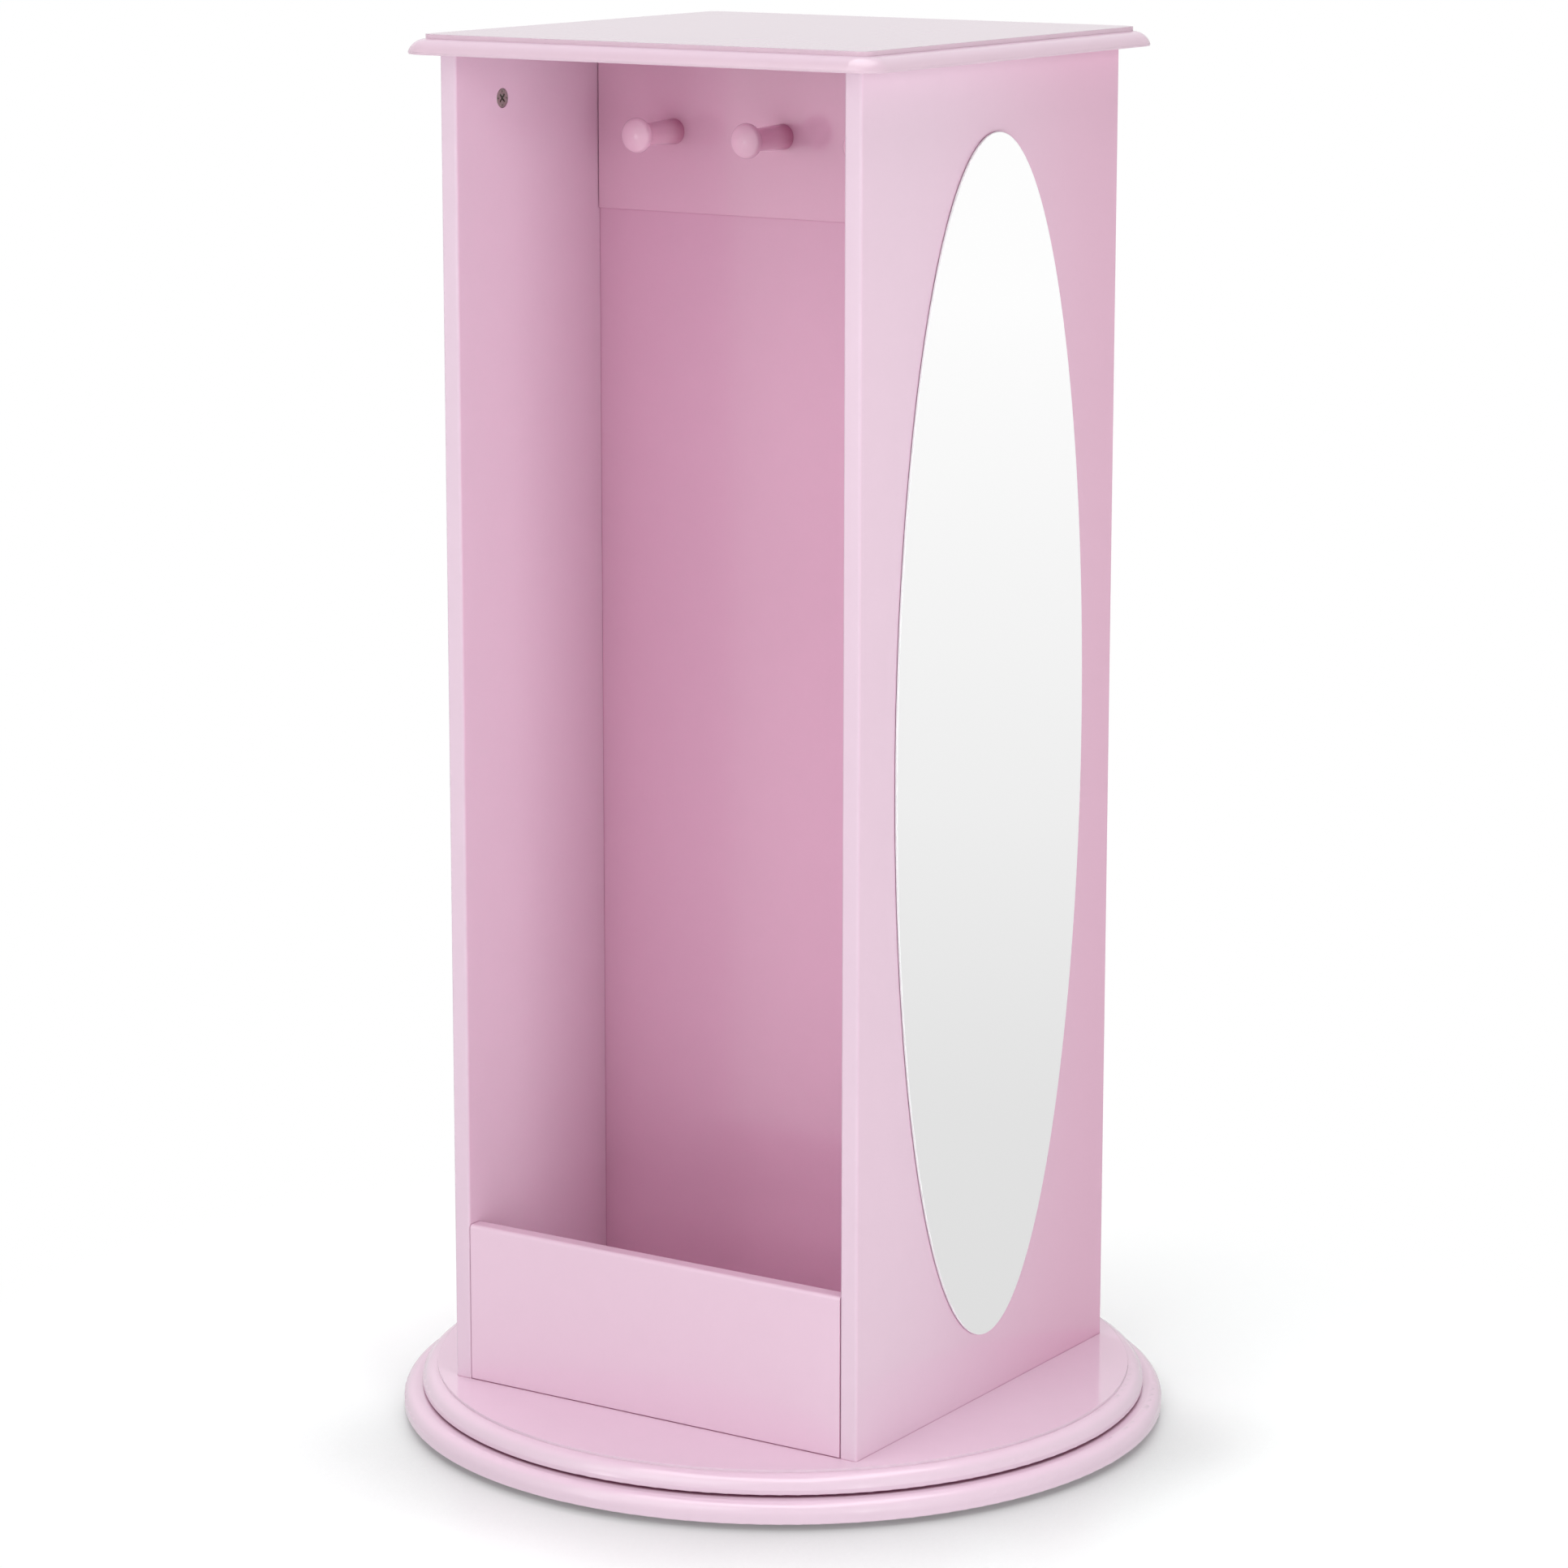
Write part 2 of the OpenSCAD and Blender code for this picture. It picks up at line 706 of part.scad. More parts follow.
// A turned peg: tapered shank, flared neck and a domed round head
module peg() {
    rim_x = peg_head_d / 2 - peg_rim_r;
    dome_z = peg_l - peg_dome_r;
    reach = peg_dome_r - peg_rim_r;
    rise = sqrt(reach * reach - rim_x * rim_x);
    rim_z = dome_z + rise;
    // where the dome runs into the rim
    meet_x = rim_x * peg_dome_r / reach;
    meet_z = dome_z + rise * peg_dome_r / reach;
    difference() {
        rotate_extrude() {
            polygon([
                [0, 0], [peg_base_d / 2, 0], [peg_neck_d / 2, rim_z - peg_rim_r - 3],
                [rim_x, rim_z - peg_rim_r], [rim_x, rim_z], [0, rim_z]
            ]);
            translate([rim_x, rim_z]) circle(r = peg_rim_r);
            intersection() {
                translate([0, dome_z]) circle(r = peg_dome_r);
                polygon([
                    [0, rim_z - 1], [rim_x, rim_z - 1], [rim_x, rim_z], [meet_x, meet_z],
                    [meet_x, peg_l + 1], [0, peg_l + 1]
                ]);
            }
        }
        peg_screw_hole();
    }
}

module peg_left() { color(pink) at_pegs([-1]) peg(); }
module peg_middle() { color(pink) at_pegs([0]) peg(); }
module peg_right() { color(pink) at_pegs([1]) peg(); }

module peg_screws() {
    color(steel) at_pegs([-1, 0, 1]) translate([0, 0, -rail_t]) mirror([0, 0, 1])
        countersunk(wood_screw_d, wood_head_d, rail_t + peg_screw_in);
}

// ---- bin ----

module bin_board() {
    half = inner_x - bin_end_gap;
    r = bin_edge_r;
    color(pink) difference() {
        translate([-half, bin_y, bin_z]) rotate([90, 0, 90]) linear_extrude(2 * half) {
            translate([-bin_t / 2, soft_r]) square([bin_t, bin_h - r - soft_r]);
            translate([-bin_t / 2 + r, 0]) square([bin_t - 2 * r, bin_h]);
            translate([-bin_t / 2 + soft_r, 0]) square([bin_t - 2 * soft_r, bin_h / 2]);
            for (s = [-1, 1]) {
                translate([s * (bin_t / 2 - r), bin_h - r]) circle(r = r);
                translate([s * (bin_t / 2 - soft_r), soft_r]) circle(r = soft_r);
            }
        }
        for (s = [0, 1]) mirror([s, 0, 0]) at_bin_dowels()
            dowel_hole(dowel_d, dowel_l);
        for (s = [-1, 1]) translate([s * bin_screw_x, bin_y, turn_z]) long_screw_hole();
    }
}

module bin_screws() {
    color(steel) for (s = [-1, 1])
        translate([s * bin_screw_x, bin_y, turn_z]) long_screw();
}

// ---- rear shelves ----

module shelf(i) {
    half = inner_x - shelf_gap;
    r = shelf_edge_r;
    color(pink) translate([-half, shelf_y, shelf_z(i)])
        rotate([90, 0, 90]) linear_extrude(2 * half) {
            square([shelf_d - r, shelf_t]);
            translate([0, r]) square([shelf_d, shelf_t - 2 * r]);
            for (z = [r, shelf_t - r]) translate([shelf_d - r, z]) circle(r = r);
        }
}

module shelf_lower() { shelf(1); }
module shelf_middle() { shelf(2); }
module shelf_upper() { shelf(3); }

// A steel pin with a square block that the shelf lies on
module shelf_pin() {
    cylinder(d = pin_d, h = pin_in);
    translate([-pin_block / 2, -pin_block / 2, -pin_block])
        cube([pin_block, pin_block, pin_block]);
}

module shelf_pins() {
    color(steel) for (s = [0, 1]) mirror([s, 0, 0]) at_shelf_pins() shelf_pin();
}

// ---- mirror ----

mirror_points = 144;

module mirror_oval() {
    color(silver) translate([cab_w / 2 + tape_t, 0, floor_z + mirror_mid])
        rotate([90, 0, 90]) linear_extrude(mirror_t)
            polygon([
                for (i = [0 : mirror_points - 1])
                    let (a = 360 / mirror_points * i)
                        [mirror_w / 2 * cos(a), mirror_h / 2 * sin(a)]
            ]);
}

module mirror_tape() {
    color(foam) for (i = [-1, 0, 1])
        translate([cab_w / 2, i * tape_pitch - tape_w / 2, floor_z + mirror_mid - tape_l / 2])
            cube([tape_t, tape_w, tape_l]);
}

base_disc();
foot_1();
foot_2();
foot_3();
foot_4();
foot_5();
foot_6();
foot_screws();
bearing_outer_ring();
outer_ring_screws();
ball_cage();
bearing_balls();
turntable_disc();
bearing_inner_ring();
inner_ring_screws();
side_panel_left();
side_panel_right();
panel_screws();
top_board();
cam_locks();
cam_bolts();
wood_dowels();
divider_panel();
peg_rail();
rail_dowels();
peg_left();
peg_middle();
peg_right();
peg_screws();
bin_board();
bin_screws();
shelf_lower();
shelf_middle();
shelf_upper();
shelf_pins();
mirror_oval();
mirror_tape();
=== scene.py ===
import json
import math

import bmesh
import bpy
from mathutils import Matrix, Vector


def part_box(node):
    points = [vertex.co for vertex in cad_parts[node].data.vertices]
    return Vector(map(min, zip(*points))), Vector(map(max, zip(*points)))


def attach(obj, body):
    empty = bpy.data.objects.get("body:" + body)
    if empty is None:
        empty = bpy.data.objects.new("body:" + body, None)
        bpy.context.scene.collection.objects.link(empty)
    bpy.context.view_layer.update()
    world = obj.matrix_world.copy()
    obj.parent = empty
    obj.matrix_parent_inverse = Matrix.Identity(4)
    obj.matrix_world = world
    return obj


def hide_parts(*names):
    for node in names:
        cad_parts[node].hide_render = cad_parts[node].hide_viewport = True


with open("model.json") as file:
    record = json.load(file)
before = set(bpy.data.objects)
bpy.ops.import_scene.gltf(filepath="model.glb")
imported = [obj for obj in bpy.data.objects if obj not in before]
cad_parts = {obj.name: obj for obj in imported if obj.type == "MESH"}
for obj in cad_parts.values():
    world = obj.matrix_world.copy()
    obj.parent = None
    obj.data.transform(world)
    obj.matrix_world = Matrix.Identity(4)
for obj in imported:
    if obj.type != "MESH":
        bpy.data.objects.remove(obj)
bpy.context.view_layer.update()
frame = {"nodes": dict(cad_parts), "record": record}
nodes = frame["nodes"]

scene = bpy.context.scene
scene.view_settings.view_transform = "Standard"

# settings are in metres, degrees and watts, and the lens and sensor in millimetres
cameraSetup = {
    "place": (2.1186, -3.2660, 1.32555),
    "turn": 32.966,  # from the -Y side towards +X
    "dip": 11.790,  # below level
    "roll": 0.065,
    "lens": 114.591,
    "sensor": 36.0,
    "farEnd": 60.0,
}


def addCamera(setup):
    data = bpy.data.cameras.new("studioCamera")
    data.lens = setup["lens"]
    data.sensor_width = setup["sensor"]
    data.clip_end = setup["farEnd"]
    camera = bpy.data.objects.new("studioCamera", data)
    scene.collection.objects.link(camera)
    camera.matrix_world = (
        Matrix.Translation(setup["place"])
        @ Matrix.Rotation(math.radians(setup["turn"]), 4, "Z")
        @ Matrix.Rotation(math.radians(90 - setup["dip"]), 4, "X")
        @ Matrix.Rotation(math.radians(setup["roll"]), 4, "Z")
    )
    scene.camera = camera


addCamera(cameraSetup)
print("camera placed")


class Flow:  # a socket of a node tree; Python sums on it add their Math nodes
    def __init__(self, tree, socket=None):
        self.tree = tree
        self.socket = socket

    def node(self, kind, settings=None, sockets=None, output=0):
        made = self.tree.nodes.new(kind)
        for name, value in (settings or {}).items():
            if name == "stops":
                fillRamp(made.color_ramp, value)
            else:
                setattr(made, name, value)
        for name, value in (sockets or {}).items():
            if isinstance(value, Flow):
                self.tree.links.new(value.socket, made.inputs[name])
            else:
                made.inputs[name].default_value = value
        return Flow(self.tree, made.outputs[output])

    def calc(self, operation, first, second):
        return self.node("ShaderNodeMath", {"operation": operation}, {0: first, 1: second})

    def __add__(self, other):
        return self.calc("ADD", self, other)

    def __radd__(self, other):
        return self.calc("ADD", other, self)

    def __sub__(self, other):
        return self.calc("SUBTRACT", self, other)

    def __rsub__(self, other):
        return self.calc("SUBTRACT", other, self)

    def __mul__(self, other):
        return self.calc("MULTIPLY", self, other)

    def __rmul__(self, other):
        return self.calc("MULTIPLY", other, self)

    def __pow__(self, other):
        return self.calc("POWER", self, other)

    def __rpow__(self, other):
        return self.calc("POWER", other, self)


def fillRamp(ramp, stops):
    while len(ramp.elements) > 1:
        ramp.elements.remove(ramp.elements[-1])
    for index, (place, level) in enumerate(stops):
        element = ramp.elements[0] if index == 0 else ramp.elements.new(place)
        element.position = place
        element.color = grey(level)


def grey(value):
    return (value, value, value, 1.0)


def opaque(colour):
    return (colour[0], colour[1], colour[2], 1.0)


def shade(colour, by):  # a colour made lighter or darker, in plain numbers
    return tuple(min(1.0, part * by) for part in colour)


def mixColour(flow, factor, first, second, mode="MIX"):  # inputs 6 and 7 are the Mix node's colours
    return flow.node(
        "ShaderNodeMix",
        {"data_type": "RGBA", "blend_type": mode},
        {0: factor,
         6: first if isinstance(first, Flow) else opaque(first),
         7: second if isinstance(second, Flow) else opaque(second)},
        output=2,
    )


def between(flow, value, low, high, toLow=0.0, toHigh=1.0):  # one range moved to another, with soft ends
    return flow.node(
        "ShaderNodeMapRange",
        {"interpolation_type": "SMOOTHSTEP"},
        {"Value": value, "From Min": low, "From Max": high, "To Min": toLow, "To Max": toHigh},
    )


def objectPlace(flow):
    return flow.node("ShaderNodeTexCoord", output="Object")


def axisOf(flow, vector, axis):
    return flow.node("ShaderNodeSeparateXYZ", None, {0: vector}, output=axis)


def along(flow, vector, way):  # the dot product
    return flow.node(
        "ShaderNodeVectorMath", {"operation": "DOT_PRODUCT"}, {0: vector, 1: way}, output="Value")


def openness(flow, samples, **sockets):
    return flow.node("ShaderNodeAmbientOcclusion", {"samples": samples}, sockets, output="AO")


def clamped(flow, value):
    return flow.node("ShaderNodeClamp", None, {"Value": value})


def clouds(flow, place, scale, detail=2.0, rough=0.5, stretch=None, shift=(0.0, 0.0, 0.0)):
    if stretch or any(shift):
        place = flow.node(
            "ShaderNodeMapping", None,
            {"Vector": place, "Location": shift, "Scale": stretch or (1.0, 1.0, 1.0)})
    return flow.node(
        "ShaderNodeTexNoise", None,
        {"Vector": place, "Scale": scale, "Detail": detail, "Roughness": rough}, output="Fac")


def cells(flow, place, scale):
    return flow.node(
        "ShaderNodeTexVoronoi", {"feature": "F1"}, {"Vector": place, "Scale": scale}, output="Distance")


def softArris(flow, radius):
    return flow.node("ShaderNodeBevel", {"samples": 6}, {"Radius": radius})


def edgeMask(flow, radius, gain):  # 1 on an arris, 0 on a flat face
    soft = softArris(flow, radius)
    plain = flow.node("ShaderNodeNewGeometry", output="Normal")
    return clamped(flow, (1.0 - along(flow, soft, plain)) * gain)


def bump(flow, height, distance, normal=None, strength=1.0):
    sockets = {"Height": height, "Strength": strength, "Distance": distance}
    if normal:
        sockets["Normal"] = normal
    return flow.node("ShaderNodeBump", None, sockets)


class Finish:  # a named material with one Principled shader
    def __init__(self, name, **plain):
        self.material = bpy.data.materials.new(name)
        self.material.use_nodes = True
        self.shader = self.material.node_tree.nodes["Principled BSDF"]
        self.flow = Flow(self.material.node_tree)
        for socket, value in plain.items():
            self.feed(socket.replace("_", " "), value)

    def feed(self, socket, value):
        if isinstance(value, Flow):
            self.flow.tree.links.new(value.socket, self.shader.inputs[socket])
        else:
            self.shader.inputs[socket].default_value = value


# each cloud is its scale, detail and roughness, and each range is where it starts and where it is full
lacquerLook = {
    "colour": (0.745, 0.53, 0.65),
    "ior": 1.58,
    "drift": 0.010,  # slow change of tone over a board
    "driftCloud": (2.6, 2.0, 0.5),
    "mottle": 0.008,
    "mottleCloud": (38.0, 4.0, 0.6),
    "cloudRange": (0.3, 0.7),
    "gloss": 0.11,  # roughness of the open faces
    "glossDrift": 0.04,
    "edge": 0.0009,  # how far an arris is softened
    "edgeGain": 1.6,
    "rubbed": (0.83, 0.62, 0.72),  # thin paint on the arrises
    "rubbedCloud": (22.0, 3.0, 0.6),
    "rubbedRange": (0.42, 0.68),
    "rubbedShare": 0.15,
    "rubbedRough": 0.10,
    "cutEdgeAndShading": (0.96, 1.0, 0.985),  # painted sheen: the cut edges less red than the open faces
    "routedRough": 0.05,
    "routedRange": (0.25, 0.85),  # square of the slope, from cut edge to open face
    "creaseShade": (0.92, 0.78, 0.85),  # painted shade in the crease where two boards meet
    "creaseShadeReach": 0.0014,
    "creaseShadeOpen": (0.45, 0.95),  # how open a place is where the painted crease shade is full, and where it ends
    "peel": 0.00004,  # height of the sprayed paint's orange peel
    "peelCloud": (260.0, 2.0, 0.45),
    "wave": 0.00002,
    "waveCloud": (34.0, 1.0, 0.4),
    "nibs": 0.00006,  # dust under the paint
    "nibCells": 95.0,
    "nibSize": 0.085,  # share of a cell
    "nibCloud": (40.0, 1.0),
    "nibRange": (0.60, 0.66),
}
# painted shade: the divider and the rail sit deep in the niche and get a deeper, more saturated pink than the
# boards
dividerShadeLook = {**lacquerLook, "colour": (0.755, 0.415, 0.575)}
railShadeLook = {**lacquerLook, "colour": (0.78, 0.45, 0.60)}
sidePanelLook = {**lacquerLook, "colour": (0.75, 0.542, 0.66), "creaseShade": (0.90, 0.76, 0.83)}
discLook = {
    **lacquerLook,
    # painted light: paler than the boards' paint, for the light the discs catch
    "colour": (0.79, 0.58, 0.705),
    # painted sheen: the moulded edges greyer and less red where they stand upright
    "cutEdgeAndShading": (0.915, 0.955, 0.93),
    # painted shade: the gap between the discs drawn dark
    "creaseShade": (0.52, 0.23, 0.34),
    "creaseShadeReach": 0.004,
    "creaseShadeOpen": (0.22, 0.58),
    "peel": 0.00002,
    "wave": 0.00001,
    "nibs": 0.000002,
}
topLook = {
    **lacquerLook,
    "colour": (0.735, 0.55, 0.66),
    # painted shade: the moulded lip darker than the top face
    "cutEdgeAndShading": (0.91, 0.885, 0.88),
    "creaseShade": (0.97, 0.92, 0.945),
    "glossDrift": 0.012,
    "peel": 0.000004,
    "wave": 0.000002,
    "nibs": 0.000003,
}
pegLook = {
    **lacquerLook,
    "colour": (0.80, 0.49, 0.625),
    # painted shade: a wide reach darkens the peg's shank under the head and against the rail
    "creaseShade": (0.68, 0.37, 0.49),
    "creaseShadeReach": 0.026,
    "glossDrift": 0.02,
    "peel": 0.000006,
    "wave": 0.000003,
    "nibs": 0.000002,
}
panelBackShade = {"front": -0.14, "back": 0.20, "colour": (0.70, 0.40, 0.54)}  # painted shade: a deeper tone towards the back, where less light reaches
sawnEdge = {"cloud": (900.0, 3.0, 0.6), "stretch": (1.0, 1.0, 0.25), "height": 0.00003}


def lacquer(name, look, gloss=0.0, shift=(0.0, 0.0, 0.0), flat=None, backShade=None, grain=None):
    finish = Finish(name, IOR=look["ior"])
    flow = finish.flow
    place = objectPlace(flow)
    slow = clouds(flow, place, *look["driftCloud"], shift=shift)
    fine = clouds(flow, place, *look["mottleCloud"], shift=shift)
    rubbed = edgeMask(flow, look["edge"], look["edgeGain"])
    patchy = between(flow, clouds(flow, place, *look["rubbedCloud"]), *look["rubbedRange"])

    deep = shade(look["colour"], 1 - look["drift"])
    pale = shade(look["colour"], 1 + look["drift"])
    colour = mixColour(flow, between(flow, slow, *look["cloudRange"]), deep, pale)
    speck = mixColour(flow, between(flow, fine, *look["cloudRange"]), grey(1 - look["mottle"]), grey(1.0))
    colour = mixColour(flow, 1.0, colour, speck, "MULTIPLY")
    # painted shade, deeper towards the back of the board
    if backShade:
        depth = axisOf(flow, place, "Y")
        colour = mixColour(flow, between(flow, depth, backShade["front"], backShade["back"]), colour, backShade["colour"])
    cutEdgeAndShading = 0.0
    if flat:  # the axis that the board's faces look along
        facing = axisOf(flow, flow.node("ShaderNodeTexCoord", output="Normal"), flat)
        cutEdgeAndShading = between(flow, facing * facing, *look["routedRange"], 1.0, 0.0)
        # painted shading of the cut edges, by their slope; the same mask roughens them and lifts their fibres
        colour = mixColour(flow, cutEdgeAndShading, colour, mixColour(flow, 1.0, colour, look["cutEdgeAndShading"], "MULTIPLY"))
    colour = mixColour(flow, rubbed * patchy * look["rubbedShare"], colour, look["rubbed"])
    # painted shade: the colour darkens in creases, gaps and corners, by how open the place is
    room = openness(flow, samples=5, Distance=look["creaseShadeReach"])
    creaseShade = between(flow, room, *look["creaseShadeOpen"], 1.0, 0.0)
    colour = mixColour(flow, creaseShade, colour, mixColour(flow, 1.0, colour, look["creaseShade"], "MULTIPLY"))
    finish.feed("Base Color", colour)

    rough = cutEdgeAndShading * look["routedRough"] + look["gloss"] + gloss
    rough = rough + (slow - 0.5) * look["glossDrift"] + (fine - 0.5) * look["glossDrift"]
    finish.feed("Roughness", rough + rubbed * look["rubbedRough"])

    # orange peel, a few dust nibs and the soft arris
    peel = clouds(flow, place, *look["peelCloud"], shift=shift)
    wave = clouds(flow, place, *look["waveCloud"], shift=shift)
    speckle = between(flow, cells(flow, place, look["nibCells"]), 0.0, look["nibSize"], 1.0, 0.0)
    nib = speckle * between(flow, clouds(flow, place, *look["nibCloud"]), *look["nibRange"])
    normal = bump(flow, wave, look["wave"], softArris(flow, look["edge"]))
    normal = bump(flow, peel, look["peel"], normal)
    normal = bump(flow, nib, look["nibs"], normal)
    if grain:  # the fibres of a cut edge lifted through the paint
        fibre = clouds(flow, place, *grain["cloud"], stretch=grain["stretch"])
        normal = bump(flow, fibre * cutEdgeAndShading, grain["height"], normal)
    finish.feed("Normal", normal)
    return finish.material


metalBase = {
    "metallic": 1.0,
    "stainCloud": (60.0, 4.0, 0.6),
    "stainRange": (0.35, 0.7),
    "stained": 0.82,
    "stainRough": 0.18,
    "gritCloud": (900.0, 3.0, 0.5),
    "gritRough": 0.08,
    "turning": None,
}
zincLook = {**metalBase, "colour": (0.46, 0.44, 0.39), "metallic": 0.7, "rough": 0.36, "grit": 0.00006}
platedLook = {**metalBase, "colour": (0.60, 0.61, 0.62), "rough": 0.26, "grit": 0.00001}
ballLook = {**metalBase, "colour": (0.78, 0.79, 0.80), "rough": 0.08, "grit": 0.000003}
alloyLook = {
    **metalBase,
    "colour": (0.74, 0.75, 0.77),
    "rough": 0.36,
    "gritCloud": (600.0, 3.0, 0.5),
    "grit": 0.00002,
    "turning": {"scale": 380.0, "wobble": 0.4, "detail": 2.0, "height": 0.00001, "strength": 0.5},
}


def metal(name, look):
    finish = Finish(name, Metallic=look["metallic"])
    flow = finish.flow
    place = objectPlace(flow)
    stain = clouds(flow, place, *look["stainCloud"])
    grit = clouds(flow, place, *look["gritCloud"])
    dull = shade(look["colour"], look["stained"])
    stained = between(flow, stain, *look["stainRange"])
    finish.feed("Base Color", mixColour(flow, stained, look["colour"], dull))
    rough = look["rough"] + (stain - 0.5) * look["stainRough"]
    finish.feed("Roughness", rough + (grit - 0.5) * look["gritRough"])
    normal = bump(flow, grit, look["grit"])
    turning = look["turning"]
    if turning:  # the lathe's marks round the axis
        marks = flow.node(
            "ShaderNodeTexWave",
            {"wave_type": "RINGS", "rings_direction": "Z"},
            {"Vector": place, "Scale": turning["scale"], "Distortion": turning["wobble"],
             "Detail": turning["detail"]},
            output="Fac")
        normal = bump(flow, marks, turning["height"], normal, strength=turning["strength"])
    finish.feed("Normal", normal)
    return finish.material


plasticBase = {
    "ior": 1.50,
    "grimeCloud": (55.0, 4.0, 0.6),
    "grimeRange": (0.35, 0.75),
    "grimy": 0.9,
    "grimeRough": 0.2,
    "sparkCloud": (1500.0, 2.0, 0.5),  # the spark-eroded face of the mould
    "spark": 0.00002,
}
nylonLook = {**plasticBase, "colour": (0.80, 0.79, 0.74), "rough": 0.50}
glideLook = {**plasticBase, "colour": (0.62, 0.60, 0.57), "rough": 0.55}


def plastic(name, look):
    finish = Finish(name, IOR=look["ior"])
    flow = finish.flow
    place = objectPlace(flow)
    grime = clouds(flow, place, *look["grimeCloud"])
    spark = clouds(flow, place, *look["sparkCloud"])
    grimy = between(flow, grime, *look["grimeRange"])
    finish.feed("Base Color", mixColour(flow, grimy, look["colour"], shade(look["colour"], look["grimy"])))
    finish.feed("Roughness", look["rough"] + (grime - 0.5) * look["grimeRough"])
    finish.feed("Normal", bump(flow, spark, look["spark"]))
    return finish.material


beechLook = {
    "pale": (0.62, 0.43, 0.25),
    "deep": (0.45, 0.28, 0.14),
    "ior": 1.45,
    "rough": 0.6,
    "grainRough": 0.2,
    "grainCloud": (90.0, 5.0, 0.6),
    "grainStretch": (1.0, 1.0, 0.12),
    "grainRange": (0.35, 0.68),
    "poreCloud": (420.0, 2.0, 0.5),
    "poreStretch": (1.0, 1.0, 0.1),
    "poreRange": (0.58, 0.75),
    "poreShare": 0.5,
    "poreTone": 0.6,
    "pore": 0.00006,
}


def beech(name, look):
    finish = Finish(name, IOR=look["ior"])
    flow = finish.flow
    place = objectPlace(flow)
    grain = clouds(flow, place, *look["grainCloud"], stretch=look["grainStretch"])
    pore = clouds(flow, place, *look["poreCloud"], stretch=look["poreStretch"])
    colour = mixColour(flow, between(flow, grain, *look["grainRange"]), look["pale"], look["deep"])
    dark = between(flow, pore, *look["poreRange"]) * look["poreShare"]
    finish.feed("Base Color", mixColour(flow, dark, colour, shade(look["deep"], look["poreTone"])))
    finish.feed("Roughness", look["rough"] + (grain - 0.5) * look["grainRough"])
    finish.feed("Normal", bump(flow, pore, look["pore"]))
    return finish.material


foamLook = {
    "colour": (0.82, 0.82, 0.79),
    "rough": 0.9,
    "cells": 1400.0,
    "cellRange": (0.1, 0.6),
    "deep": 0.8,
    "height": 0.0001,
}


def foam(name, look):
    finish = Finish(name, Roughness=look["rough"])
    flow = finish.flow
    cell = cells(flow, objectPlace(flow), look["cells"])
    hollow = between(flow, cell, *look["cellRange"])
    finish.feed("Base Color", mixColour(flow, hollow, shade(look["colour"], look["deep"]), look["colour"]))
    finish.feed("Normal", bump(flow, cell, look["height"]))
    return finish.material


finishes = {  # by material slot
    "painted_board": lacquer("boardLacquer", lacquerLook),
    "painted_panel": lacquer("panelLacquer", dividerShadeLook, gloss=0.04, shift=(3.1, 0.4, 1.7)),
    "painted_peg": lacquer("pegLacquer", pegLook, gloss=-0.03, shift=(0.7, 2.2, 0.3)),
    "foam_tape": foam("tapeFoam", foamLook),
    "bearing_alloy": metal("bearingAlloy", alloyLook),
    "bearing_steel": metal("ballSteel", ballLook),
    "cage_nylon": plastic("cageNylon", nylonLook),
    "glide_plastic": plastic("glidePlastic", glideLook),
    "screw_steel": metal("platedSteel", platedLook),
    "cam_zinc": metal("castZinc", zincLook),
    "dowel_beech": beech("dowelBeech", beechLook),
}
slotOf = {part["node"]: part["material_slot"] for part in frame["record"]["subparts"]}


def wear(piece, material):
    piece.data.materials.clear()
    piece.data.materials.append(material)


for name, node in nodes.items():
    if slotOf[name] in finishes:
        wear(node, finishes[slotOf[name]])

# boards with painted shading or a cut edge of their own
wear(nodes["peg_rail"], lacquer("railLacquer", railShadeLook, shift=(1.4, 2.6, 0.9)))
discBoard = lacquer("discLacquer", discLook, shift=(0.2, 1.1, 2.4), flat="Z", grain=sawnEdge)
sideBoard = lacquer(
    "sidePanelLacquer", sidePanelLook, shift=(2.3, 0.9, 0.1), flat="X", backShade=panelBackShade, grain=sawnEdge)
wear(nodes["top_board"], lacquer("topBoardLacquer", topLook, shift=(1.2, 0.1, 0.4), flat="Z", grain=sawnEdge))
for name in ("base_disc", "turntable_disc"):
    wear(nodes[name], discBoard)
for name in ("side_panel_left", "side_panel_right"):
    wear(nodes[name], sideBoard)
print("finishes:", len(finishes))


mirrorLook = {
    "silver": (0.985, 0.985, 0.985),
    "smearCloud": (9.0, 4.0, 0.65),
    "smearStretch": (1.0, 1.0, 0.45),
    "smearRange": (0.5, 0.8),
    "smearRough": 0.02,
    "rough": 0.012,
    "dustCloud": (900.0, 2.0, 0.6),
    "dustRange": (0.6, 0.8),
    "dustShare": 0.25,
    "dusty": 0.94,
    "glassEdge": (0.82, 0.85, 0.85),
    "glassIor": 1.52,
    "grindCloud": (1600.0, 3.0, 0.6),
    "groundPale": 1.5,
    "groundRough": 0.16,
    "grindRough": 0.2,
    "grind": 0.00002,
    "backing": (0.33, 0.34, 0.36),
    "backingRough": 0.6,
    "fleckCloud": (240.0, 4.0, 0.6),
    "fleckTone": 0.8,
    "fleck": 0.00005,
    "arris": 0.00045,  # the ground edge
    "arrisRound": 0.3,  # share of the arris that its middle line keeps
    "backInsets": (0.0400, 0.0040),  # rings of the back and of the face, in from the rim
    "faceInsets": (0.0040, 0.0400, 0.0900, 0.1250),
    "segments": 288,
}


